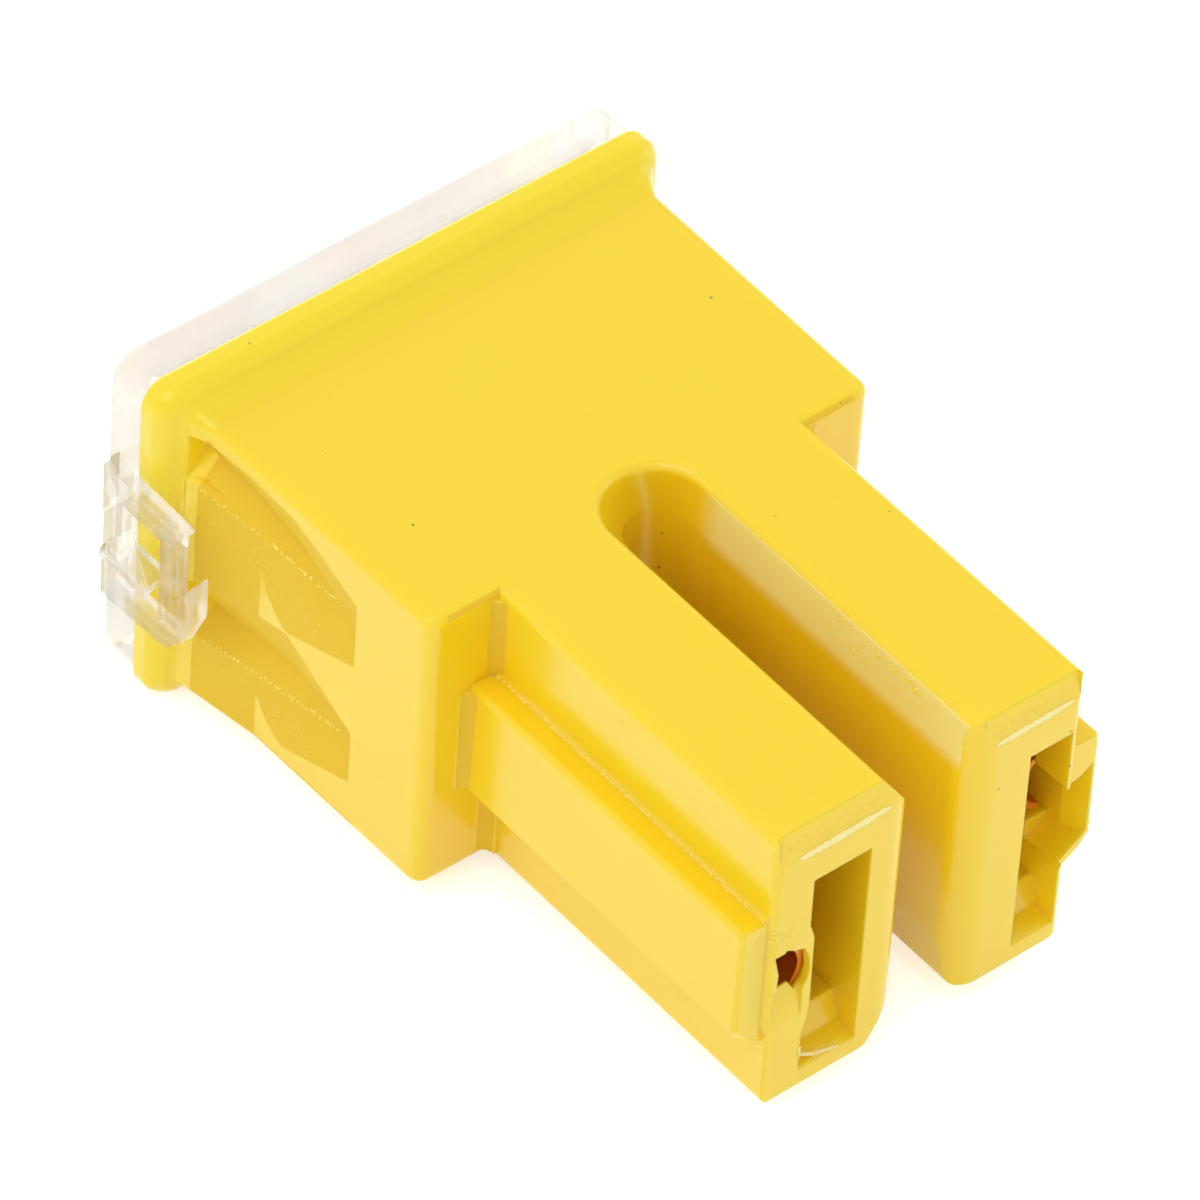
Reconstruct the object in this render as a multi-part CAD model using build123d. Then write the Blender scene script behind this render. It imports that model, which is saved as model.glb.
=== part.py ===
"""Plug-in cartridge fusible link with two female terminals, lying on its broad face.

Millimetres. X is the width, Y runs from the leg tips to the cover, Z is the thickness. Lengths along
the fuse are written from the leg tips, heights from the lower broad face of the body, and every
finished piece is moved at the end so that the origin is the middle of the footprint.
"""
from build123d import *
import os

os.makedirs("parts", exist_ok=True)

# Overall lengths along Y, from the leg tips
shoulder = 12.2           # end of the legs, start of the body
flange_back = 23.95       # face that the cover sits on
collar_start = flange_back - 2.0    # hollow curve that leads out to the flange
cover_back = flange_back + 1.5      # outer face of the cover

# Body
thick = 10.7              # across the two broad faces
shoulder_half = 8.05      # half width at the shoulder
body_half = 8.15          # half width at the collar
edge_r = 0.27             # long edges
corner_r = 0.45           # upright edges of the shoulder
end_wall = 2.3            # plastic between the shoulder and the chamber
side_wall = 1.4
broad_wall = 1.0

# Flange and collar
flange_half = 9.23
flange_over = 0.79        # how far it stands past each broad face
flange_r = 0.84
# Flange with the hollow curve in front of it: length from the collar and the share of the overhang there
flange_curve = (
    (0, 0), (0.35, 0.13), (0.65, 0.30), (0.85, 0.50), (0.95, 0.68), (1.07, 0.80), (1.22, 0.91), (1.4, 1),
    (1.9, 1), (2.0, 0.91),
)

# Legs
leg_out = 5.6             # outer faces, from the middle
left_in = 0.53            # inner face of the left leg
right_in = 1.53           # inner face of the right leg
gap_half = 1.68           # half of the gap at the broad faces
strip = 1.7               # height of the sloping strips at the gap
gap_end = shoulder + 1.55           # root of the gap at the broad faces
gap_end_deep = shoulder + 1.3       # and between the strips
low_step = 0.14           # lower outer wall, set back
tip_drop = 1.08           # bevel on the upper edge of the tips
tip_back = 0.22
root_r = 0.45             # hollow corners where the legs meet the shoulder

# Slots for the male blades, and the cavities behind them
slot_low = 1.75
slot_high = 8.4
left_slot = (-4.15, -2.07)
right_slot = (3.74, 5.3)
throat = 2.7              # depth at which the slots open into the cavities
cavity_slack = 0.18       # cavity past the slot on each side
pocket_low = 3.5
pocket_high = 6.95
pocket_wall = 0.5         # outer wall of the rib
web = 0.28                # thin web that closes the rib at its tip

# Ribs on the outer faces
rib_low = 3.3
rib_high = 7.45
rib_front = 0.2
left_rib = 6.5
right_rib = 6.62

# Ramps in the narrow sides, each under a groove. Along the fuse from the shoulder: lower edge of the ramp,
# depth and height of its upper edge, depth and height of the valley behind it, upper edge of the groove
upper_ramp = (
    (3.2, 6.46, 0.46, 7.48, 0.42, 7.64, 8.93),
    (4.7, 5.94, 0.49, 7.64, 0.50, 7.90, 9.62),
    (6.15, 5.42, 0.23, 8.05, 0.51, 8.55, 10.12),
    (8.0, 5.02, -0.04, 8.35, 0.51, 9.05, 10.18),
    (10.4, 4.45, -0.38, 8.45, 0.44, 9.35, 10.05),
)
lower_ramp = (
    (3.2, 1.76, 0.46, 2.80, 0.42, 2.95, 3.76),
    (4.7, 1.24, 0.44, 3.02, 0.50, 3.30, 4.56),
    (6.15, 0.74, 0.21, 2.92, 0.51, 3.55, 5.38),
    (8.0, 0.30, -0.04, 2.72, 0.51, 3.50, 4.98),
    (10.4, -0.20, -0.38, 2.40, 0.44, 3.30, 4.40),
)
flare_start = collar_start - 2.45   # where the side begins to stand out towards the flange
flare_end = collar_start + 0.85
flare_out = 0.5
flare_high = 8.6

# Latch between housing and cover
loop_gap = 0.08           # loop to the side of the flange
loop_thick = 0.5
loop_reach = 2.49         # from the flange to the front of the loop's cross bar
loop_low = 2.9
loop_high = 8.12
loop_bar = 1.0            # upper bar of the loop
barb_in = 0.58            # reach of the barb in front of the flange
barb_gap = 0.1
tab_out = 10.05           # outer edge of the release tab
tab_thick = 0.3

# Cover
cover_half = 9.15
cover_in = 0.10           # cover inside the outline of the flange, top and bottom
cover_r = 0.95
cover_wall = 0.8
cover_plate = 0.7
notch_low = 4.1
notch_high = 6.75
notch_deep = 0.75

# Stamped element
strip_t = 0.3             # sheet thickness of the terminals
leaf_t = 0.2
leaf_r = 1.28             # curl of the spring leaf, seen from the tip
leaf_mid = 4.85
plate_low = 1.95
plate_high = 8.15
link_low = 3.7
link_high = 6.7
link_y = shoulder + 8.4   # middle of the link, in the chamber
neck = 5.2                # narrow part of the link, which melts
slug_len = 2.4
slug_wide = 1.5

total = cover_back
lift = flange_over


def prism_y(points, y0, y1):
    """Solid with the given (x, z) outline between two places along Y."""
    face = make_face(Polyline(*[(x, y0, z) for x, z in points], close=True))
    return extrude(face, amount=y1 - y0, dir=(0, 1, 0))


def prism_z(points, z0, z1):
    """Solid with the given (x, y) outline between two heights."""
    face = make_face(Polyline(*[(x, y, z0) for x, y in points], close=True))
    return extrude(face, amount=z1 - z0, dir=(0, 0, 1))


def prism_x(points, x0, x1):
    """Solid with the given (y, z) outline between two places along X."""
    face = make_face(Polyline(*[(x0, y, z) for y, z in points], close=True))
    return extrude(face, amount=x1 - x0, dir=(1, 0, 0))


def block(x0, x1, y0, y1, z0, z1):
    """Box between two corners."""
    middle = ((x0 + x1) / 2, (y0 + y1) / 2, (z0 + z1) / 2)
    return Pos(*middle) * Box(x1 - x0, y1 - y0, z1 - z0)


def across(y, half, z0, z1, radius):
    """Rounded rectangle that faces along Y."""
    plane = Plane(origin=(0, y, (z0 + z1) / 2), x_dir=(1, 0, 0), z_dir=(0, 1, 0))
    return plane * RectangleRounded(2 * half, z1 - z0, radius)


def ring_face(y, x, z, radius, width, first, last):
    """Part of a ring that faces along Y, for the curled leaf."""
    plane = Plane(origin=(x, y, z), x_dir=(1, 0, 0), z_dir=(0, -1, 0))
    outer = CenterArc((0, 0), radius, first, last - first)
    inner = CenterArc((0, 0), radius - width, first, last - first)
    ends = [Line(outer @ 0, inner @ 0), Line(outer @ 1, inner @ 1)]
    return plane * make_face(Curve() + [outer, inner] + ends)


def body():
    """Main block with a slight taper and rounded long edges."""
    outline = [
        (-shoulder_half, shoulder),
        (shoulder_half, shoulder),
        (body_half, collar_start),
        (body_half, flange_back),
        (-body_half, flange_back),
        (-body_half, collar_start),
    ]
    solid = prism_z(outline, 0, thick)
    upright = solid.edges().filter_by(Axis.Z).group_by(Axis.Y)[0]
    solid = fillet(upright, corner_r)
    rims = solid.faces().filter_by(Axis.Z).edges()
    return fillet([e for e in rims if e.center().Y < collar_start + 0.5], edge_r)


def flare():
    """Side walls standing out towards the flange, on both narrow sides."""
    start = across(flare_start, shoulder_half + 0.06, 0, flare_high, edge_r)
    end = across(flare_end + 0.3, body_half + flare_out, 0, flare_high, edge_r)
    return loft([start, end], ruled=True)


def flange():
    """Plate around the open end and the hollow curve that leads out to it, as one loft."""
    sections = []
    for length, share in flange_curve:
        half = body_half + share * (flange_half - body_half)
        over = share * flange_over
        radius = edge_r + share * (flange_r - edge_r)
        sections.append(across(collar_start + length, half, -over, thick + over, radius))
    return loft(sections, ruled=True)


def leg_section(side, inner):
    """Outline of a leg seen from its tip: +1 is the right leg, -1 the left one."""
    points = [
        (leg_out, thick),
        (leg_out, rib_low),
        (leg_out - low_step, rib_low - 0.5),
        (leg_out - low_step, 0),
        (gap_half, 0),
        (inner, strip),
        (inner, thick - strip),
        (gap_half, thick),
    ]
    return [(side * x, z) for x, z in points]


def leg(side, inner):
    """One leg with its outer edges rounded, before its tip is shaped."""
    solid = prism_y(leg_section(side, inner), 0, shoulder + 0.4)
    outer = [e for e in solid.edges().filter_by(Axis.Y) if abs(e.center().X) > leg_out - low_step - 0.1]
    corners = [e for e in outer if min(abs(e.center().Z), abs(e.center().Z - thick)) < 0.01]
    return fillet(corners, edge_r)


def tip_corner(x, side, radius):
    """What is cut away to round one upright corner of a tip; the leg lies to the given side of x."""
    middle = radius * (1 - 0.5 ** 0.5)
    edges = Curve() + [
        Line((x - side * 0.2, -0.2), (x - side * 0.2, radius)),
        Line((x - side * 0.2, radius), (x, radius)),
        ThreePointArc((x, radius), (x + side * middle, middle), (x + side * radius, 0)),
        Line((x + side * radius, 0), (x + side * radius, -0.2)),
        Line((x + side * radius, -0.2), (x - side * 0.2, -0.2)),
    ]
    return extrude(Pos(0, 0, -1) * make_face(edges), amount=thick + 2)


def tip_cut(side, inner, inner_r):
    """Rounded upright corners and the bevel on the upper edge of one tip."""
    bevel = [(-0.2, thick + 0.2), (-0.2, thick - tip_drop - 0.6), (0, thick - tip_drop),
             (tip_back, thick), (tip_back, thick + 0.2)]
    first, last = sorted((side * (inner + 0.5 * inner_r), side * (leg_out - 0.15)))
    return (tip_corner(side * inner, side, inner_r) + tip_corner(side * leg_out, -side, 0.3)
            + prism_x(bevel, first, last))


def rib(side, reach):
    """Rib on the outer face of a leg that houses the spring."""
    points = [
        (leg_out - 0.8, rib_high + 0.3),
        (leg_out - 0.03, rib_high + 0.24),
        (leg_out + 0.12, rib_high),
        (reach - 0.12, rib_high),
        (reach, rib_high - 0.16),
        (reach + 0.04, rib_low + 0.1),
        (reach - 0.12, rib_low - 0.12),
        (leg_out - 0.1, rib_low - 0.75),
        (leg_out - 0.8, rib_low - 0.9),
    ]
    solid = prism_y([(side * x, z) for x, z in points], rib_front, shoulder + 0.2)
    front = solid.faces().sort_by(Axis.Y)[0].edges()
    return chamfer([e for e in front if abs(e.center().X) > reach - 0.2], 0.12)


def hollow_corner(x, side, z0, z1):
    """Fillet in the corner between the shoulder and a face of a leg or rib."""
    edges = Curve() + [
        Line((x - 0.2, shoulder + 0.2), (x - 0.2, shoulder - root_r)),
        Line((x - 0.2, shoulder - root_r), (x, shoulder - root_r)),
        RadiusArc((x, shoulder - root_r), (x + root_r, shoulder), root_r),
        Line((x + root_r, shoulder), (x + root_r, shoulder + 0.2)),
        Line((x + root_r, shoulder + 0.2), (x - 0.2, shoulder + 0.2)),
    ]
    corner = extrude(Pos(0, 0, z0) * make_face(edges), amount=z1 - z0)
    return corner if side > 0 else mirror(corner, about=Plane.YZ)


def gap_outline(z, left, right, end):
    """Outline of the gap at one height, with a half-round root."""
    start = shoulder - 0.7
    radius = (right - left) / 2
    centre = end - radius
    edges = Curve() + [
        Line((left, start), (left, centre)),
        ThreePointArc((left, centre), (left + radius, end), (right, centre)),
        Line((right, centre), (right, start)),
        Line((right, start), (left, start)),
    ]
    return Pos(0, 0, z) * make_face(edges)


def gap_cut():
    """Space between the legs, run into the shoulder as a funnel on both broad faces."""
    over = 0.1
    left = gap_half + over * (gap_half - left_in) / strip
    right = gap_half + over * (gap_half - right_in) / strip
    deep = gap_outline(strip, -left_in, right_in, gap_end_deep)
    core = extrude(deep, amount=thick - 2 * strip)
    top = gap_outline(thick + over, -left, right, gap_end + over * (gap_end - gap_end_deep) / strip)
    funnel = loft([Pos(0, 0, thick - 2 * strip) * deep, top], ruled=True)
    return core + funnel + mirror(funnel, about=Plane.XY.offset(thick / 2))


def ramp_cut(rows, side):
    """What is cut away over one ramp and its groove, which deepen from the wall and end at the flange."""
    faces = []
    for length, low, ramp_in, ramp_z, valley_in, valley_z, high in rows:
        y = shoulder + length
        wall = shoulder_half + (body_half - shoulder_half) * length / (collar_start - shoulder)
        flared = wall + flare_out * max(0.0, y - flare_start) / (flare_end - flare_start)
        profile = [(flared + 0.6, low - 0.2), (flared, low), (wall - ramp_in, ramp_z),
                   (wall - valley_in, valley_z), (wall, high), (flared + 0.6, high + 0.3)]
        faces.append(make_face(Polyline(*[(side * x, y, z) for x, z in profile], close=True)))
    return loft(faces, ruled=True)


def slot_cut(slot):
    """Blade slot as far as the throat, with the rough lead-in at its lower end."""
    low, high = slot
    opening = block(low, high, -0.2, throat + 0.2, slot_low, slot_high)
    lead = prism_x([(-0.2, slot_low - 1.2), (0, slot_low - 1.15), (0.7, slot_low - 0.9), (1.05, slot_low),
                    (1.05, slot_low + 0.3), (-0.2, slot_low + 0.3)], low, high)
    return opening + lead


def cavity_cut(slot, side, reach, front):
    """Cavity of one terminal, from the throat to the chamber, and the pocket for its spring."""
    end = shoulder + end_wall + 0.2
    if side < 0:
        low, high = slot[0], slot[1] + cavity_slack
    else:
        low, high = slot[0] - cavity_slack, slot[1]
    main = block(low, high, throat, end, slot_low - cavity_slack, slot_high + cavity_slack)
    edge = side * (reach - pocket_wall)
    inner = side * (max(abs(slot[0]), abs(slot[1])) - 0.1)
    pocket = block(min(edge, inner), max(edge, inner), front, end, pocket_low, pocket_high)
    return main + pocket


def left_web():
    """Thin web at the left tip that bulges into the slot, in front of the spring."""
    outline = [(-4.3, 6.7), (-4.12, 6.5), (-3.96, 6.0), (-3.93, 3.2), (-4.0, 2.6), (-4.12, 2.2), (-4.3, 2.2)]
    return prism_y(outline, 0.0, web)


def left_window():
    """Ragged hole through the web, and the shallow slope below it."""
    window = prism_y([(-5.37, 5.99), (-5.05, 5.98), (-4.95, 6.06), (-4.62, 5.86), (-4.29, 5.74), (-4.1, 5.3),
                      (-4.03, 4.71), (-4.12, 4.3), (-4.41, 4.01), (-4.66, 4.42), (-4.95, 4.40), (-5.25, 4.48),
                      (-5.20, 5.2)], -0.2, web + 0.2)
    slope = prism_x([(-0.2, 2.85), (0.0, 2.95), (web - 0.04, 4.5), (-0.2, 4.5)], -5.33, -4.25)
    return window + slope


def right_window():
    """Wide scoop beside the right slot, where the rib is open at its tip."""
    deep = right_rib - pocket_wall
    outline = [(5.0, -0.3), (right_rib - 0.14, -0.3), (right_rib - 0.2, rib_front + 0.05), (deep, 1.0),
               (deep, 1.5), (5.0, 1.5)]
    scoop = prism_z(outline, 1.5, 7.0)
    front = prism_y([(4.9, 6.55), (5.25, 6.1), (5.62, 5.95), (6.0, 6.05), (right_rib, 6.45), (right_rib, 3.75),
                     (6.2, 3.35), (5.5, 2.85), (4.9, 2.75)], -0.3, 1.6)
    return scoop & front


def gap_rim(solid):
    """Edges of the gap on the two broad faces, from tip to tip round the root."""
    found = []
    for edge in solid.edges():
        box = edge.bounding_box()
        flat = box.max.Z - box.min.Z < 0.001 and min(abs(box.min.Z), abs(box.min.Z - thick)) < 0.001
        inside = max(abs(box.min.X), abs(box.max.X)) < gap_half + 0.05
        if flat and inside and box.max.Y < gap_end + 0.05 and box.max.Y - box.min.Y > 0.5:
            found.append(edge)
    return found


def housing():
    """One moulding: body, legs, ribs, flange and everything cut in them."""
    root = block(-gap_half - 0.5, gap_half + 0.5, shoulder - 0.6, shoulder + 0.4, 0, thick)
    solid = body() + leg(-1, left_in) + leg(1, right_in) + root - gap_cut()
    solid = fillet(gap_rim(solid), edge_r)
    solid = solid - tip_cut(-1, left_in, 0.8) - tip_cut(1, right_in, 0.95)
    solid = solid + flare() + flange()
    for side in (1, -1):
        solid = solid - ramp_cut(upper_ramp, side) - ramp_cut(lower_ramp, side)
    for side, reach in ((-1, left_rib), (1, right_rib)):
        solid = solid + rib(side, reach)
        solid = solid + hollow_corner(leg_out, side, 0.3, thick - 0.3)
        solid = solid + hollow_corner(reach, side, rib_low + 0.1, rib_high - 0.16)
    chamber = block(-shoulder_half + side_wall, shoulder_half - side_wall, shoulder + end_wall,
                    flange_back + 1, broad_wall, thick - broad_wall)
    chamber = fillet(chamber.edges().filter_by(Axis.Y), 0.5)
    solid = solid - chamber
    solid = solid - cavity_cut(left_slot, -1, left_rib, web) - cavity_cut(right_slot, 1, right_rib, 1.4)
    solid = solid - slot_cut(left_slot) - slot_cut(right_slot)
    return solid + left_web() - left_window() - right_window()


def loop(side):
    """Latch loop of the cover: a frame with a hooked bar, a lead-in foot and a release tab."""
    inner = flange_half + loop_gap
    outer = inner + loop_thick
    root_y = flange_back + 0.8
    bar_in, bar_out = flange_back - loop_reach + 0.64, flange_back - loop_reach
    frame = prism_x([
        (root_y, loop_high), (bar_out - 0.16, loop_high - 0.06), (bar_out - 0.32, loop_high - 0.17),
        (bar_out, loop_high - 0.62), (bar_out, loop_high - 2.92), (bar_out - 0.61, loop_high - 2.12),
        (bar_out - 0.96, loop_high - 1.52), (bar_out - 0.98, loop_high - 3.02),
        (bar_out - 0.41, loop_low + 0.9), (bar_out + 0.14, loop_low + 0.3), (bar_in - 0.1, loop_low + 0.15),
        (root_y, loop_low)], inner, outer)
    window = prism_x([
        (flange_back - 0.1, loop_high - loop_bar), (bar_in, loop_high - loop_bar), (bar_in, loop_low + 0.92),
        (flange_back - 0.1, loop_low + 0.88)], inner - 1, outer + 1)
    barb_end = flare_end - barb_gap
    barb = prism_z([
        (inner + 0.1, bar_out), (inner - 0.1, bar_out + 0.04), (inner - barb_in, bar_in),
        (inner - barb_in, barb_end), (inner - 0.1, barb_end), (inner + 0.1, bar_in)],
        loop_low + 1.0, loop_high - loop_bar - 0.1)
    barb = barb - block(inner, outer + 1, bar_in, flange_back, loop_low, loop_high)
    root = block(cover_half - 0.4, outer, flange_back, root_y + 0.1, loop_low, loop_high)
    root = chamfer(root.edges().filter_by(Axis.Z).group_by(Axis.Y)[-1].sort_by(Axis.X)[-1:], 0.35)
    tab_z = (loop_low + loop_high) / 2 - 0.19
    tab = prism_y([
        (inner - 0.05, tab_z), (tab_out, tab_z - 0.35), (tab_out, tab_z - 0.35 - tab_thick),
        (inner - 0.05, tab_z - tab_thick)], bar_in + 0.32, root_y - 0.2)
    solid = frame - window + barb + root + tab
    if side < 0:
        solid = mirror(solid, about=Plane.YZ)
    return solid


def cover():
    """One clear moulding: shallow cap, notches in its rim and the two loops."""
    low = -flange_over + cover_in
    high = thick + flange_over - cover_in
    cap = extrude(across(flange_back, cover_half, low, high, cover_r), amount=cover_back - flange_back,
                  dir=(0, 1, 0))
    cap = chamfer(cap.faces().sort_by(Axis.Y)[-1].edges(), 0.15)
    hollow = extrude(across(flange_back - 0.1, cover_half - cover_wall, low + cover_wall, high - cover_wall,
                            0.4), amount=cover_back - cover_plate - flange_back + 0.1, dir=(0, 1, 0))
    cap = cap - hollow
    for side in (1, -1):
        cap = cap + loop(side)
        notch = prism_x([
            (cover_back + 0.3, notch_high + 0.25), (cover_back - 0.05, notch_high + 0.15),
            (cover_back - 0.45, notch_high - 0.25), (cover_back - notch_deep, notch_high - 0.55),
            (cover_back - notch_deep, notch_low + 0.75), (cover_back - 0.4, notch_low + 0.35),
            (cover_back + 0.05, notch_low - 0.15), (cover_back + 0.3, notch_low - 0.2)], 8.75, 10.6)
        if side < 0:
            notch = mirror(notch, about=Plane.YZ)
        cap = cap - notch
    return cap


def terminal(inner_x, side, apex_x, tip):
    """Contact plate, folded bridge and curled spring leaf of one terminal."""
    plate_out = inner_x + side * strip_t
    plate = block(min(inner_x, plate_out), max(inner_x, plate_out), throat + 0.1, shoulder + 1.6, plate_low,
                  plate_high)
    far = apex_x + side * 0.1
    fold = shoulder - 2.0
    top = block(min(inner_x, far), max(inner_x, far), fold, shoulder + 0.6, plate_high - strip_t,
                plate_high + 0.05)
    outer = block(min(apex_x - side * 0.04, far), max(apex_x - side * 0.04, far), fold, shoulder + 0.6,
                  leaf_mid - 0.6, plate_high)
    first, last = (-68, 68) if side < 0 else (112, 248)
    sections = []
    end = shoulder - 1.4
    for share, shift in ((0.0, 0.0), (0.24, 0.2), (0.46, 0.45), (0.73, 0.25), (1.0, 0.0)):
        y = tip + share * (end - tip)
        centre = apex_x + side * leaf_r - side * shift
        sections.append(ring_face(y, centre, leaf_mid, leaf_r, leaf_t, first, last))
    leaf = loft(sections)
    return plate + top + outer + leaf


def link():
    """Thin link that joins the two contact plates across the chamber."""
    left = left_slot[1] + cavity_slack
    right = right_slot[0] - cavity_slack
    start = shoulder + 1.4
    far_left, far_right = left - 2.7, right + 1.85
    line = Polyline(
        (left - strip_t / 2, start), (left - strip_t / 2, link_y - 5.4), (far_left, link_y - 4.0),
        (far_left, link_y - 1.6), (far_left + 1.4, link_y), (far_right - 0.8, link_y),
        (far_right, link_y - 1.4), (far_right, link_y - 4.0), (right + strip_t / 2, link_y - 5.4),
        (right + strip_t / 2, start))
    band = extrude(Pos(0, 0, link_low) * trace(line, strip_t), amount=link_high - link_low)
    mid = (left + right) / 2
    front, back = link_y - 2 * strip_t, link_y + 2 * strip_t
    narrow_low = block(mid - neck / 2, mid + neck / 2, front, back, link_low - 0.1, link_low + 0.75)
    narrow_high = block(mid - neck / 2, mid + neck / 2, front, back, link_high - 0.75, link_high + 0.1)
    return band - narrow_low - narrow_high


def element():
    """One stamping: two terminals and the link."""
    left = terminal(left_slot[1] + cavity_slack, -1, -4.03, web + 0.04)
    right = terminal(right_slot[0] - cavity_slack, 1, 4.97, 1.6)
    return left + right + link()


def slug(band):
    """Tin pellet crimped around the middle of the link."""
    mid = (left_slot[1] + right_slot[0]) / 2
    low = link_low + 0.35
    high = link_high - 0.35
    pellet = block(mid - slug_len / 2, mid + slug_len / 2, link_y - slug_wide / 2, link_y + slug_wide / 2,
                   low, high)
    pellet = fillet(pellet.edges().filter_by(Axis.Z), 0.45)
    return pellet - band


def place(solid):
    """Origin to the middle of the footprint, on the surface it lies on."""
    return Pos(0, -total / 2, lift) * solid


def main_piece(shape):
    """The one solid of a shape, without loose crumbs."""
    return sorted(shape.solids(), key=lambda s: s.volume)[-1]


house = main_piece(housing())
lid = main_piece(cover())
strip_part = main_piece(element())
pellet_part = main_piece(slug(strip_part))
export_step(place(house), "parts/housing.step")
export_step(place(lid), "parts/clear_cover.step")
export_step(place(strip_part), "parts/fuse_element.step")
export_step(place(pellet_part), "parts/tin_slug.step")
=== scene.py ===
import math
import random

import bmesh
import bpy
from mathutils import Matrix, Vector


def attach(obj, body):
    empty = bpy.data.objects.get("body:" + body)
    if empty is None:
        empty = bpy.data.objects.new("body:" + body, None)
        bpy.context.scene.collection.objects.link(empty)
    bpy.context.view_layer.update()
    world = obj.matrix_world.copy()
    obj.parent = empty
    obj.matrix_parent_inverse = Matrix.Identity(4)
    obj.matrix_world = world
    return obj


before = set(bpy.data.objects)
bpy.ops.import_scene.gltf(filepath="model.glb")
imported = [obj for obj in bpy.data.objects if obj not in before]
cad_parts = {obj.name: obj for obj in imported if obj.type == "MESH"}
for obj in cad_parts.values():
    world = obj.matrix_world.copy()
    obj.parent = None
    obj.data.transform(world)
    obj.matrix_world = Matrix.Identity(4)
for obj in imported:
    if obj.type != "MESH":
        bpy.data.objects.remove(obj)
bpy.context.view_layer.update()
MM = 0.001

# Housing of the fusible link: one yellow moulding with two terminal legs, a flange at the open end and
# two ramps on each narrow side. It is injection moulded in glass-filled nylon. Its walls come from a
# polished mould, while the ramps and the hollow corners beside the ribs were spark-eroded and are dull.

NYLON_DEEP, NYLON_PALE = "#FED61A", "#FFDC24"
# The brighter yellow of the flange end is painted glow, as if lit through from behind.
FLANGE_PAINTED_GLOW = "#FFE020"
# The paler yellow of the strip beside the gap is a painted reflection of the bright room.
STRIP_PAINTED_REFLECTION = "#FFEE96"
# The darker gold of the ramps and hollow corners is painted shade.
RAMP_PAINTED_SHADE = "#E0B810"
SPECK_BROWN = "#A48C34"
POLISHED, ERODED = 0.2, 0.6                    # roughness
POLISHED_RELIEF, ERODED_RELIEF = 0.04, 0.5     # strength of the surface grain
PAINTED_SHADE_SHARE = 0.6                               # how far the ramps turn to gold
MOTTLES_PER_MM, PITS_PER_MM, SPECKS_PER_MM = 0.25, 3.0, 0.71
PIT_DEPTH, EDGE_RADIUS, LIGHT_DEPTH = 0.04 * MM, 0.10 * MM, 0.4 * MM
SPECK_REACH = 0.032                            # in speck cells, which makes a speck 0.09 mm across
SPECK_CHANCE = 0.62                            # cells whose random number lies above this hold a speck
MIX_FIRST, MIX_SECOND, MIX_RESULT = 6, 7, 2    # the colour sockets of a mix node


def mm(*sizes):
    """Sizes in millimetres as the metres of the scene."""
    return [size * MM for size in sizes]


# Places are measured from the middle of the footprint, and a tilt is a face's normal along one axis.
RAMP_SIDE, RAMP_ALONG, RAMP_HEIGHT = mm(6.2, 9.0), mm(2.5, 9.4), mm(0.9, 11.0)
RAMP_TILT = [0.05, 0.9995]
HOLLOW_SIDE, HOLLOW_ALONG = mm(4.0, 7.4), mm(-1.7, -0.4)
HOLLOW_TILT = [0.1, 0.97]
STRIP_SIDE = mm(1.45, 1.72)
STRIP_TILT = [-1.01, -0.9]
STRIP_RISE, STRIP_RUN = mm(9.3, 10.0), mm(-0.5, -1.7)     # from none to the full tone
FLANGE_RUN = mm(9.0, 10.2)


def linear(code):
    """An sRGB hex colour as the linear numbers that a shader takes."""
    parts = [int(code[i:i + 2], 16) / 255 for i in (1, 3, 5)]
    return [c / 12.92 if c <= 0.04045 else ((c + 0.055) / 1.055) ** 2.4 for c in parts] + [1.0]


def add(tree, kind, inputs=None, **settings):
    """Adds a node with its settings, its values and its links."""
    made = tree.nodes.new(kind)
    for name, value in settings.items():
        setattr(made, name, value)
    for name, value in (inputs or {}).items():
        if isinstance(value, bpy.types.NodeSocket):
            tree.links.new(value, made.inputs[name])
        else:
            made.inputs[name].default_value = value
    return made


def new_material(name):
    """An empty node material, ready for a shader and its output."""
    made = bpy.data.materials.new(name)
    made.use_nodes = True
    made.node_tree.nodes.clear()
    return made, made.node_tree


def inside(tree, *ranges):
    """1 where every value lies in its range, else 0. A range is a value, its low end and its high end."""
    share = 1.0
    for value, low, high in ranges:
        for limit, test in ((low, "GREATER_THAN"), (high, "LESS_THAN")):
            passed = add(tree, "ShaderNodeMath", {0: value, 1: limit}, operation=test).outputs[0]
            share = add(tree, "ShaderNodeMath", {0: share, 1: passed}, operation="MULTIPLY").outputs[0]
    return share


def eroded_and_shaded_places(tree, where, normal):
    """The ramps on the narrow sides and the rounded corners of the hollows beside the ribs: dull where
    spark-eroded, and darkened to gold as painted shade.
    """
    side = add(tree, "ShaderNodeMath", {0: where["X"]}, operation="ABSOLUTE").outputs[0]
    sideways = add(tree, "ShaderNodeMath", {0: normal["X"]}, operation="ABSOLUTE").outputs[0]
    endways = add(tree, "ShaderNodeMath", {0: normal["Y"]}, operation="ABSOLUTE").outputs[0]
    ramps = inside(tree, (side, *RAMP_SIDE), (where["Y"], *RAMP_ALONG), (where["Z"], *RAMP_HEIGHT),
                   (sideways, *RAMP_TILT))
    hollows = inside(tree, (side, *HOLLOW_SIDE), (where["Y"], *HOLLOW_ALONG), (endways, *HOLLOW_TILT))
    return add(tree, "ShaderNodeMath", {0: ramps, 1: hollows}, operation="MAXIMUM").outputs[0]


def gap_strip_painted_reflection(tree, where, normal):
    """Painted reflection: the sloping strip along the far side of the gap is tinted paler, and it fades out
    downwards and towards the root.
    """
    strip = inside(tree, (where["X"], *STRIP_SIDE), (normal["X"], *STRIP_TILT))
    for axis, (none, full) in (("Z", STRIP_RISE), ("Y", STRIP_RUN)):
        fade = add(tree, "ShaderNodeMapRange", {"Value": where[axis], "From Min": none, "From Max": full},
                   interpolation_type="SMOOTHSTEP").outputs["Result"]
        strip = add(tree, "ShaderNodeMath", {0: strip, 1: fade}, operation="MULTIPLY").outputs[0]
    return strip


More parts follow.
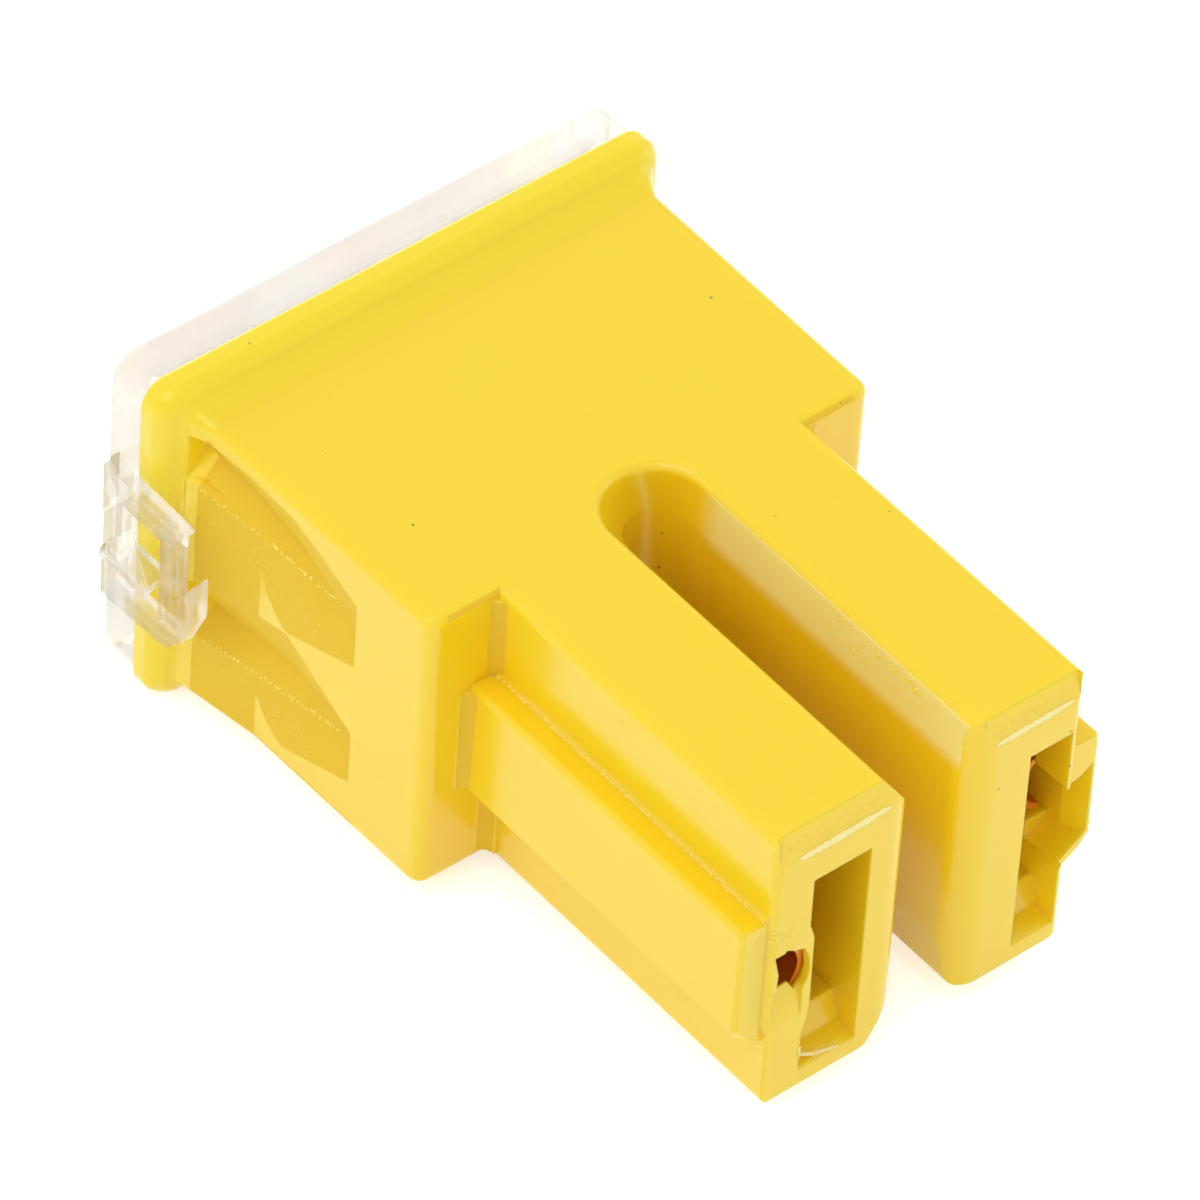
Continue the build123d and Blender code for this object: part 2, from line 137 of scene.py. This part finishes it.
def dark_specks(tree, place):
    """Specks of scorched nylon: a dot in the middle of about a third of the cells."""
    cells = add(tree, "ShaderNodeTexVoronoi", {"Vector": place, "Scale": SPECKS_PER_MM / MM})
    dots = add(tree, "ShaderNodeMath", {0: cells.outputs["Distance"], 1: SPECK_REACH},
               operation="LESS_THAN").outputs[0]
    chance = add(tree, "ShaderNodeSeparateColor", {"Color": cells.outputs["Color"]}).outputs["Red"]
    chosen = add(tree, "ShaderNodeMath", {0: chance, 1: SPECK_CHANCE}, operation="GREATER_THAN").outputs[0]
    return add(tree, "ShaderNodeMath", {0: dots, 1: chosen}, operation="MULTIPLY").outputs[0]


def moulded_nylon():
    """Yellow nylon. Light goes a little way in under the surface. The flange end is painted a brighter
    yellow as painted glow, the strip beside the gap a paler yellow as a painted reflection, and the ramps
    and hollow corners a darker gold as painted shade. The small radius of the edges is shaded, and the grain
    is drawn coarse enough to show."""
    made, tree = new_material("moulded yellow nylon")
    place = add(tree, "ShaderNodeTexCoord").outputs["Object"]
    where = add(tree, "ShaderNodeSeparateXYZ", {"Vector": place}).outputs
    face = add(tree, "ShaderNodeNewGeometry").outputs["True Normal"]
    normal = add(tree, "ShaderNodeSeparateXYZ", {"Vector": face}).outputs
    eroded_and_shaded = eroded_and_shaded_places(tree, where, normal)
    # Painted glow: towards the flange the tone turns to a brighter yellow.
    painted_flange_glow = add(tree, "ShaderNodeMapRange", {
        "Value": where["Y"], "From Min": FLANGE_RUN[0], "From Max": FLANGE_RUN[1]},
        interpolation_type="SMOOTHSTEP").outputs["Result"]
    # Painted shade: the ramps and hollow corners turn partly to a darker gold.
    painted_shade = add(tree, "ShaderNodeMath", {0: eroded_and_shaded, 1: PAINTED_SHADE_SHARE}, operation="MULTIPLY").outputs[0]

    mottle = add(tree, "ShaderNodeTexNoise", {"Vector": place, "Scale": MOTTLES_PER_MM / MM, "Detail": 3.0})
    tone = add(tree, "ShaderNodeMix", {
        "Factor": mottle.outputs["Fac"], MIX_FIRST: linear(NYLON_DEEP), MIX_SECOND: linear(NYLON_PALE)},
        data_type="RGBA").outputs[MIX_RESULT]
    tints = ((painted_flange_glow, FLANGE_PAINTED_GLOW), (gap_strip_painted_reflection(tree, where, normal), STRIP_PAINTED_REFLECTION),
             (dark_specks(tree, place), SPECK_BROWN), (painted_shade, RAMP_PAINTED_SHADE))
    for share, tint in tints:
        tone = add(tree, "ShaderNodeMix", {"Factor": share, MIX_FIRST: tone, MIX_SECOND: linear(tint)},
                   data_type="RGBA").outputs[MIX_RESULT]

    rough = add(tree, "ShaderNodeMapRange", {"Value": eroded_and_shaded, "To Min": POLISHED, "To Max": ERODED})
    relief = add(tree, "ShaderNodeMapRange", {
        "Value": eroded_and_shaded, "To Min": POLISHED_RELIEF, "To Max": ERODED_RELIEF})
    pits = add(tree, "ShaderNodeTexNoise", {"Vector": place, "Scale": PITS_PER_MM / MM, "Detail": 2.0})
    rounded = add(tree, "ShaderNodeBevel", {"Radius": EDGE_RADIUS}, samples=4)
    bump = add(tree, "ShaderNodeBump", {
        "Height": pits.outputs["Fac"], "Strength": relief.outputs["Result"], "Distance": PIT_DEPTH,
        "Normal": rounded.outputs["Normal"]})
    shader = add(tree, "ShaderNodeBsdfPrincipled", {
        "Base Color": tone, "Roughness": rough.outputs["Result"], "IOR": 1.53,
        "Subsurface Weight": 0.4, "Subsurface Radius": (0.9, 1.0, 0.6), "Subsurface Scale": LIGHT_DEPTH,
        "Normal": bump.outputs["Normal"]})
    add(tree, "ShaderNodeOutputMaterial", {"Surface": shader.outputs["BSDF"]})
    return made


def dress(node, made):
    """Gives a solid of the frame its material."""
    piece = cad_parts[node]
    piece.data.materials.clear()
    piece.data.materials.append(made)
    return piece


housing = dress("housing", moulded_nylon())

# Grain on the housing: tiny glassy grains of nylon, left where spark-eroded or worn steel shaped the
# plastic. They lie along the foot of the rib, on the edges of the ramps, on the leg tips and on the
# strip beside the gap, and they catch the light as a line of sparks. Their paler colour is partly their
# own and partly a painted glint.

# A run of grains: its ends in mm from the leg tips and the lower face, the number of grains, how far
# they stray from the line, and their least and greatest radius in mm.
GRAIN_RUNS = {
    "rib_foot_grain": [((-5.63, 1.0, 7.46), (-5.63, 12.0, 7.46), 150, 0.035, 0.030, 0.060)],
    "ramp_edge_grain": [
        ((-7.6, 16.4, 7.6), (-8.03, 19.2, 8.24), 46, 0.05, 0.025, 0.050),
        ((-8.03, 19.2, 8.24), (-8.47, 22.2, 8.45), 30, 0.08, 0.025, 0.045),
        ((-7.6, 16.2, 2.8), (-8.03, 19.3, 2.7), 46, 0.05, 0.025, 0.050),
        ((-8.03, 19.3, 2.7), (-8.4, 21.7, 2.57), 30, 0.08, 0.025, 0.045),
        ((-7.95, 17.2, 6.3), (-8.1, 20.8, 7.3), 40, 0.55, 0.020, 0.035),
        ((-7.95, 17.2, 1.5), (-8.1, 20.8, 1.8), 40, 0.45, 0.020, 0.035)],
    "tip_grain": [
        ((-5.2, 0.04, 10.1), (-2.0, 0.04, 10.1), 60, 0.22, 0.020, 0.040),
        ((-4.2, 0.0, 1.5), (-2.6, 0.0, 0.75), 80, 0.20, 0.025, 0.055),
        ((-5.9, 0.0, 7.0), (-4.8, 0.0, 6.6), 70, 0.25, 0.025, 0.055),
        ((2.4, 0.04, 10.1), (4.9, 0.04, 10.1), 50, 0.20, 0.020, 0.040)],
    "gap_strip_grain": [
        ((1.58, 1.9, 10.1), (1.58, 4.6, 10.15), 46, 0.22, 0.035, 0.060),
        ((1.58, 4.6, 10.2), (1.58, 7.2, 10.3), 26, 0.22, 0.030, 0.050),
        ((1.54, 2.2, 9.62), (1.54, 6.6, 9.62), 60, 0.05, 0.025, 0.045)],
}
LEG_CORNER = Vector((0.0, -12.725, 0.79))       # the leg tips and the lower face, from the part's middle
GRAIN_STRETCH, GRAIN_FLATNESS = (0.7, 1.6), (0.35, 0.7)
ANY_TURN = (0, 6.28)                            # in radians


def clear_nylon_painted_glint(name, deep, pale, rough):
    """The same nylon, so thin that it is nearly clear and paler than the wall behind it. The paler colour is
    partly that thinness and partly a painted glint.
    """
    made, tree = new_material(name)
    place = add(tree, "ShaderNodeTexCoord").outputs["Object"]
    spread = add(tree, "ShaderNodeTexNoise", {"Vector": place, "Scale": 8.0 / MM})
    tone = add(tree, "ShaderNodeMix", {
        "Factor": spread.outputs["Fac"], MIX_FIRST: linear(deep), MIX_SECOND: linear(pale)},
        data_type="RGBA").outputs[MIX_RESULT]
    shader = add(tree, "ShaderNodeBsdfPrincipled", {
        "Base Color": tone, "Roughness": rough, "IOR": 1.53, "Specular IOR Level": 0.3})
    add(tree, "ShaderNodeOutputMaterial", {"Surface": shader.outputs["BSDF"]})
    return made


def on_housing(point):
    """The nearest place on the housing's own surface, and the direction in which it faces."""
    return housing.closest_point_on_mesh(point * MM)[1:3]


def grain_run(mesh, start, end, count, spread, least, most):
    """Scatters flattened grains along a line, each sunk by half into the surface."""
    start, end = Vector(start) + LEG_CORNER, Vector(end) + LEG_CORNER
    for _ in range(count):
        point = start.lerp(end, random.random())
        point += Vector([random.gauss(0.0, spread / 2) for axis in range(3)])
        spot, normal = on_housing(point)
        radius = random.uniform(least, most) * MM
        stand = normal.to_track_quat("Z", "Y").to_matrix().to_4x4()
        turn = Matrix.Rotation(random.uniform(*ANY_TURN), 4, "Z")
        shape = Matrix.Diagonal((random.uniform(*GRAIN_STRETCH), 1.0, random.uniform(*GRAIN_FLATNESS), 1.0))
        bmesh.ops.create_icosphere(mesh, subdivisions=1, radius=radius,
                                   matrix=Matrix.Translation(spot) @ stand @ turn @ shape)


def seat(name, mesh, material):
    """Makes the mesh a piece of yellow plastic that goes with the housing."""
    data = bpy.data.meshes.new(name)
    mesh.to_mesh(data)
    mesh.free()
    data.materials.append(material)
    piece = bpy.data.objects.new(name, data)
    bpy.context.collection.objects.link(piece)
    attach(piece, "root")


random.seed(4)
grain_nylon_painted_glint = clear_nylon_painted_glint("glassy nylon grain with painted glint", "#FFDF3C", "#FFEC78", 0.45)
for name, runs in GRAIN_RUNS.items():
    mesh = bmesh.new()
    for run in runs:
        grain_run(mesh, *run)
    seat(name, mesh, grain_nylon_painted_glint)

# Flash on the housing: low, uneven lips of nylon that squeezed out at the edges of the mould, along the
# bevels of the leg tips and at the foot of the near slot. They shine more than the walls, and their paler
# colour is partly their own and partly a painted glint.

# A lip: its ends in mm from the leg tips and the lower face, and its radius in mm.
LIPS = {
    "near_tip_lip": ((-4.80, -0.02, 9.66), (-1.45, -0.02, 9.70), 0.09),
    "far_tip_lip": ((2.35, -0.02, 9.72), (5.25, -0.02, 9.76), 0.08),
    "near_slot_lip": ((-4.05, -0.02, 1.62), (-2.60, -0.02, 0.72), 0.05),
}
LIP_STEPS, LIP_SIDES = 48, 10
LIP_HEIGHT, LIP_WIDTH = 0.75, 1.3               # in radii
LIP_WAVER = (0.72, 1.12)                        # in radii
LIP_TAPER, LIP_LEAST = 0.3, 0.004               # how late the ends run out, and to how many mm


def lip_ring(mesh, spot, normal, along, size):
    """One flattened ring of the lip, round a place on the surface."""
    across = along.cross(normal).normalized()
    corners = [math.tau * side / LIP_SIDES for side in range(LIP_SIDES)]
    return [mesh.verts.new(spot + MM * size * (
        math.cos(angle) * normal * LIP_HEIGHT + math.sin(angle) * across * LIP_WIDTH)) for angle in corners]


def rolled_lip(start, end, radius):
    """A lip along a line, half sunk into the surface and running out at both ends."""
    start, end = Vector(start) + LEG_CORNER, Vector(end) + LEG_CORNER
    along = (end - start).normalized()
    mesh = bmesh.new()
    rings = []
    for step in range(LIP_STEPS + 1):
        share = step / LIP_STEPS
        spot, normal = on_housing(start.lerp(end, share))
        size = radius * (4 * share * (1 - share)) ** LIP_TAPER * random.uniform(*LIP_WAVER) + LIP_LEAST
        rings.append(lip_ring(mesh, spot, normal, along, size))
    for one, two in zip(rings, rings[1:]):
        for side in range(LIP_SIDES):
            after = (side + 1) % LIP_SIDES
            mesh.faces.new((one[side], one[after], two[after], two[side]))
    mesh.faces.new(rings[0][::-1])
    mesh.faces.new(rings[-1])
    bmesh.ops.recalc_face_normals(mesh, faces=mesh.faces)
    for face in mesh.faces:
        face.smooth = True
    return mesh


flash_nylon_painted_glint = clear_nylon_painted_glint("rolled nylon flash with painted glint", "#FFEE88", "#FFF8C0", 0.25)
for name, (start, end, radius) in LIPS.items():
    seat(name, rolled_lip(start, end, radius), flash_nylon_painted_glint)

# Fuse element: one strip of copper alloy, stamped and folded into a terminal in each leg, with the thin
# link between them in the chamber. Only the sheared end of a spring leaf shows, in the near leg.


def copper_strip():
    """Rolled copper alloy, a little dulled by air."""
    made, tree = new_material("rolled copper alloy")
    place = add(tree, "ShaderNodeTexCoord").outputs["Object"]
    streak = add(tree, "ShaderNodeTexNoise", {"Vector": place, "Scale": 2.0 / MM, "Detail": 3.0})
    rough = add(tree, "ShaderNodeMapRange", {"Value": streak.outputs["Fac"], "To Min": 0.25, "To Max": 0.42})
    shader = add(tree, "ShaderNodeBsdfPrincipled", {
        "Base Color": linear("#E59A3C"), "Metallic": 1.0, "Roughness": rough.outputs["Result"]})
    add(tree, "ShaderNodeOutputMaterial", {"Surface": shader.outputs["BSDF"]})
    return made


dress("fuse_element", copper_strip())

# Tin pellet, crimped around the middle of the link. It shows through the cover from behind.


def dull_tin():
    """Cast tin with a dull skin."""
    made, tree = new_material("dull tin")
    place = add(tree, "ShaderNodeTexCoord").outputs["Object"]
    skin = add(tree, "ShaderNodeTexNoise", {"Vector": place, "Scale": 1.5 / MM, "Detail": 4.0})
    rough = add(tree, "ShaderNodeMapRange", {"Value": skin.outputs["Fac"], "To Min": 0.35, "To Max": 0.55})
    shader = add(tree, "ShaderNodeBsdfPrincipled", {
        "Base Color": linear("#C9C9C4"), "Metallic": 1.0, "Roughness": rough.outputs["Result"]})
    add(tree, "ShaderNodeOutputMaterial", {"Surface": shader.outputs["BSDF"]})
    return made


dress("tin_slug", dull_tin())

# Cover: one clear moulding snapped over the flange, a shallow cap with a latch loop on each narrow side.
# It is polished polycarbonate, so it shows mostly by its bright edges.


def clear_polycarbonate():
    """Polycarbonate from a polished mould. It is clear with a faint grey haze. Nearly half of the
    light passes straight through, so that the cap isn't dark where one wall lies behind another."""
    made, tree = new_material("clear polycarbonate")
    place = add(tree, "ShaderNodeTexCoord").outputs["Object"]
    haze = add(tree, "ShaderNodeTexNoise", {"Vector": place, "Scale": 0.6 / MM, "Detail": 4.0})
    tone = add(tree, "ShaderNodeMix", {
        "Factor": haze.outputs["Fac"], MIX_FIRST: linear("#D2D0D0"), MIX_SECOND: linear("#E8E4DA")},
        data_type="RGBA").outputs[MIX_RESULT]
    shader = add(tree, "ShaderNodeBsdfPrincipled", {
        "Base Color": tone, "Roughness": 0.08, "IOR": 1.585, "Transmission Weight": 1.0, "Alpha": 0.55})
    add(tree, "ShaderNodeOutputMaterial", {"Surface": shader.outputs["BSDF"]})
    return made


dress("clear_cover", clear_polycarbonate())

# Studio: a white sweep under the fuse in a soft white room, with a large lamp above and smaller ones at
# the left, behind and at the right. The camera stands well back with a long lens, as in the photograph.

FLOOR_GLOW = 0.55                               # lifts the floor to white in view, and keeps the shadow
FLOOR_HALF, FLOOR_DROP = 1.5, 0.02 * MM
ROOM_LIGHT, ROOM_WHITE = 0.68, 1.0              # the room as it lights the fuse, and as it is seen

# A lamp: its place in metres, its size in metres and its power in watts.
SOFTBOXES = {
    "overhead softbox": ((-0.22, -0.03, 0.45), 0.40, 0.72),
    "left softbox": ((-0.42, 0.26, 0.30), 0.30, 0.1),
    "back softbox": ((0.16, 0.50, 0.16), 0.30, 0.7),
    "right softbox": ((0.42, -0.22, 0.16), 0.30, 0.25),
}


def in_view(tree):
    """1 for rays from the camera, a mirroring face or through clear plastic, and 0 for lighting."""
    path = add(tree, "ShaderNodeLightPath").outputs
    seen = path["Is Camera Ray"]
    for other in ("Is Glossy Ray", "Is Transmission Ray"):
        seen = add(tree, "ShaderNodeMath", {0: seen, 1: path[other]}, operation="MAXIMUM").outputs[0]
    return seen


def white_sweep():
    """Matt white paper that reads as pure white to the camera and still takes the fuse's shadow."""
    made, tree = new_material("white paper sweep")
    paper = add(tree, "ShaderNodeBsdfDiffuse", {"Color": linear("#FFFFFF")}).outputs["BSDF"]
    glow = add(tree, "ShaderNodeEmission", {"Color": linear("#FFFFFF"), "Strength": FLOOR_GLOW})
    lifted = add(tree, "ShaderNodeAddShader", {0: paper, 1: glow.outputs["Emission"]})
    mix = add(tree, "ShaderNodeMixShader", {"Fac": in_view(tree), 1: paper, 2: lifted.outputs["Shader"]})
    add(tree, "ShaderNodeOutputMaterial", {"Surface": mix.outputs["Shader"]})
    return made


def sweep():
    """Flat floor, wide enough for every view."""
    corners = [(-1, -1), (1, -1), (1, 1), (-1, 1)]
    mesh = bpy.data.meshes.new("floor")
    mesh.from_pydata([(x * FLOOR_HALF, y * FLOOR_HALF, 0) for x, y in corners], [], [(0, 1, 2, 3)])
    mesh.materials.append(white_sweep())
    floor = bpy.data.objects.new("floor", mesh)
    floor.location.z = -FLOOR_DROP
    bpy.context.collection.objects.link(floor)


def softbox(name, place, size, watts):
    """Square white lamp aimed at the fuse."""
    lamp = bpy.data.lights.new(name, "AREA")
    lamp.shape = "SQUARE"
    lamp.size = size
    lamp.energy = watts
    holder = bpy.data.objects.new(name, lamp)
    holder.location = place
    holder.rotation_euler = (-Vector(place)).to_track_quat("-Z", "Y").to_euler()
    bpy.context.collection.objects.link(holder)


def soft_room():
    """White all round: it lights the fuse softly, and shows as pure white."""
    world = bpy.data.worlds.new("soft room")
    world.use_nodes = True
    tree = world.node_tree
    tree.nodes.clear()
    light, white = [
        add(tree, "ShaderNodeBackground", {"Color": linear("#FFFFFF"), "Strength": strength})
        for strength in (ROOM_LIGHT, ROOM_WHITE)]
    mix = add(tree, "ShaderNodeMixShader", {
        "Fac": in_view(tree), 1: light.outputs["Background"], 2: white.outputs["Background"]})
    add(tree, "ShaderNodeOutputWorld", {"Surface": mix.outputs["Shader"]})
    return world


sweep()
for name, (place, size, watts) in SOFTBOXES.items():
    softbox(name, place, size, watts)
bpy.context.scene.world = soft_room()

CAMERA_PLACE = Vector((-158.30, -173.29, 247.02)) * MM
CAMERA_RIGHT = Vector((0.77308, -0.632395, 0.049233))
CAMERA_DOWN = Vector((-0.426489, -0.57568, -0.697638))
CAMERA_AHEAD = Vector((0.469525, 0.518333, -0.714757))
FOCAL_PIXELS = 11811.3
IMAGE_PIXELS = 1200

lens = bpy.data.cameras.new("camera")
lens.sensor_width = 36.0
lens.lens = lens.sensor_width * FOCAL_PIXELS / IMAGE_PIXELS
lens.clip_start, lens.clip_end = 0.01, 5.0
camera = bpy.data.objects.new("camera", lens)
turn = Matrix((CAMERA_RIGHT, -CAMERA_DOWN, -CAMERA_AHEAD)).transposed()
camera.matrix_world = Matrix.Translation(CAMERA_PLACE) @ turn.to_4x4()
bpy.context.collection.objects.link(camera)
bpy.context.scene.camera = camera
bpy.context.scene.view_settings.view_transform = "Standard"
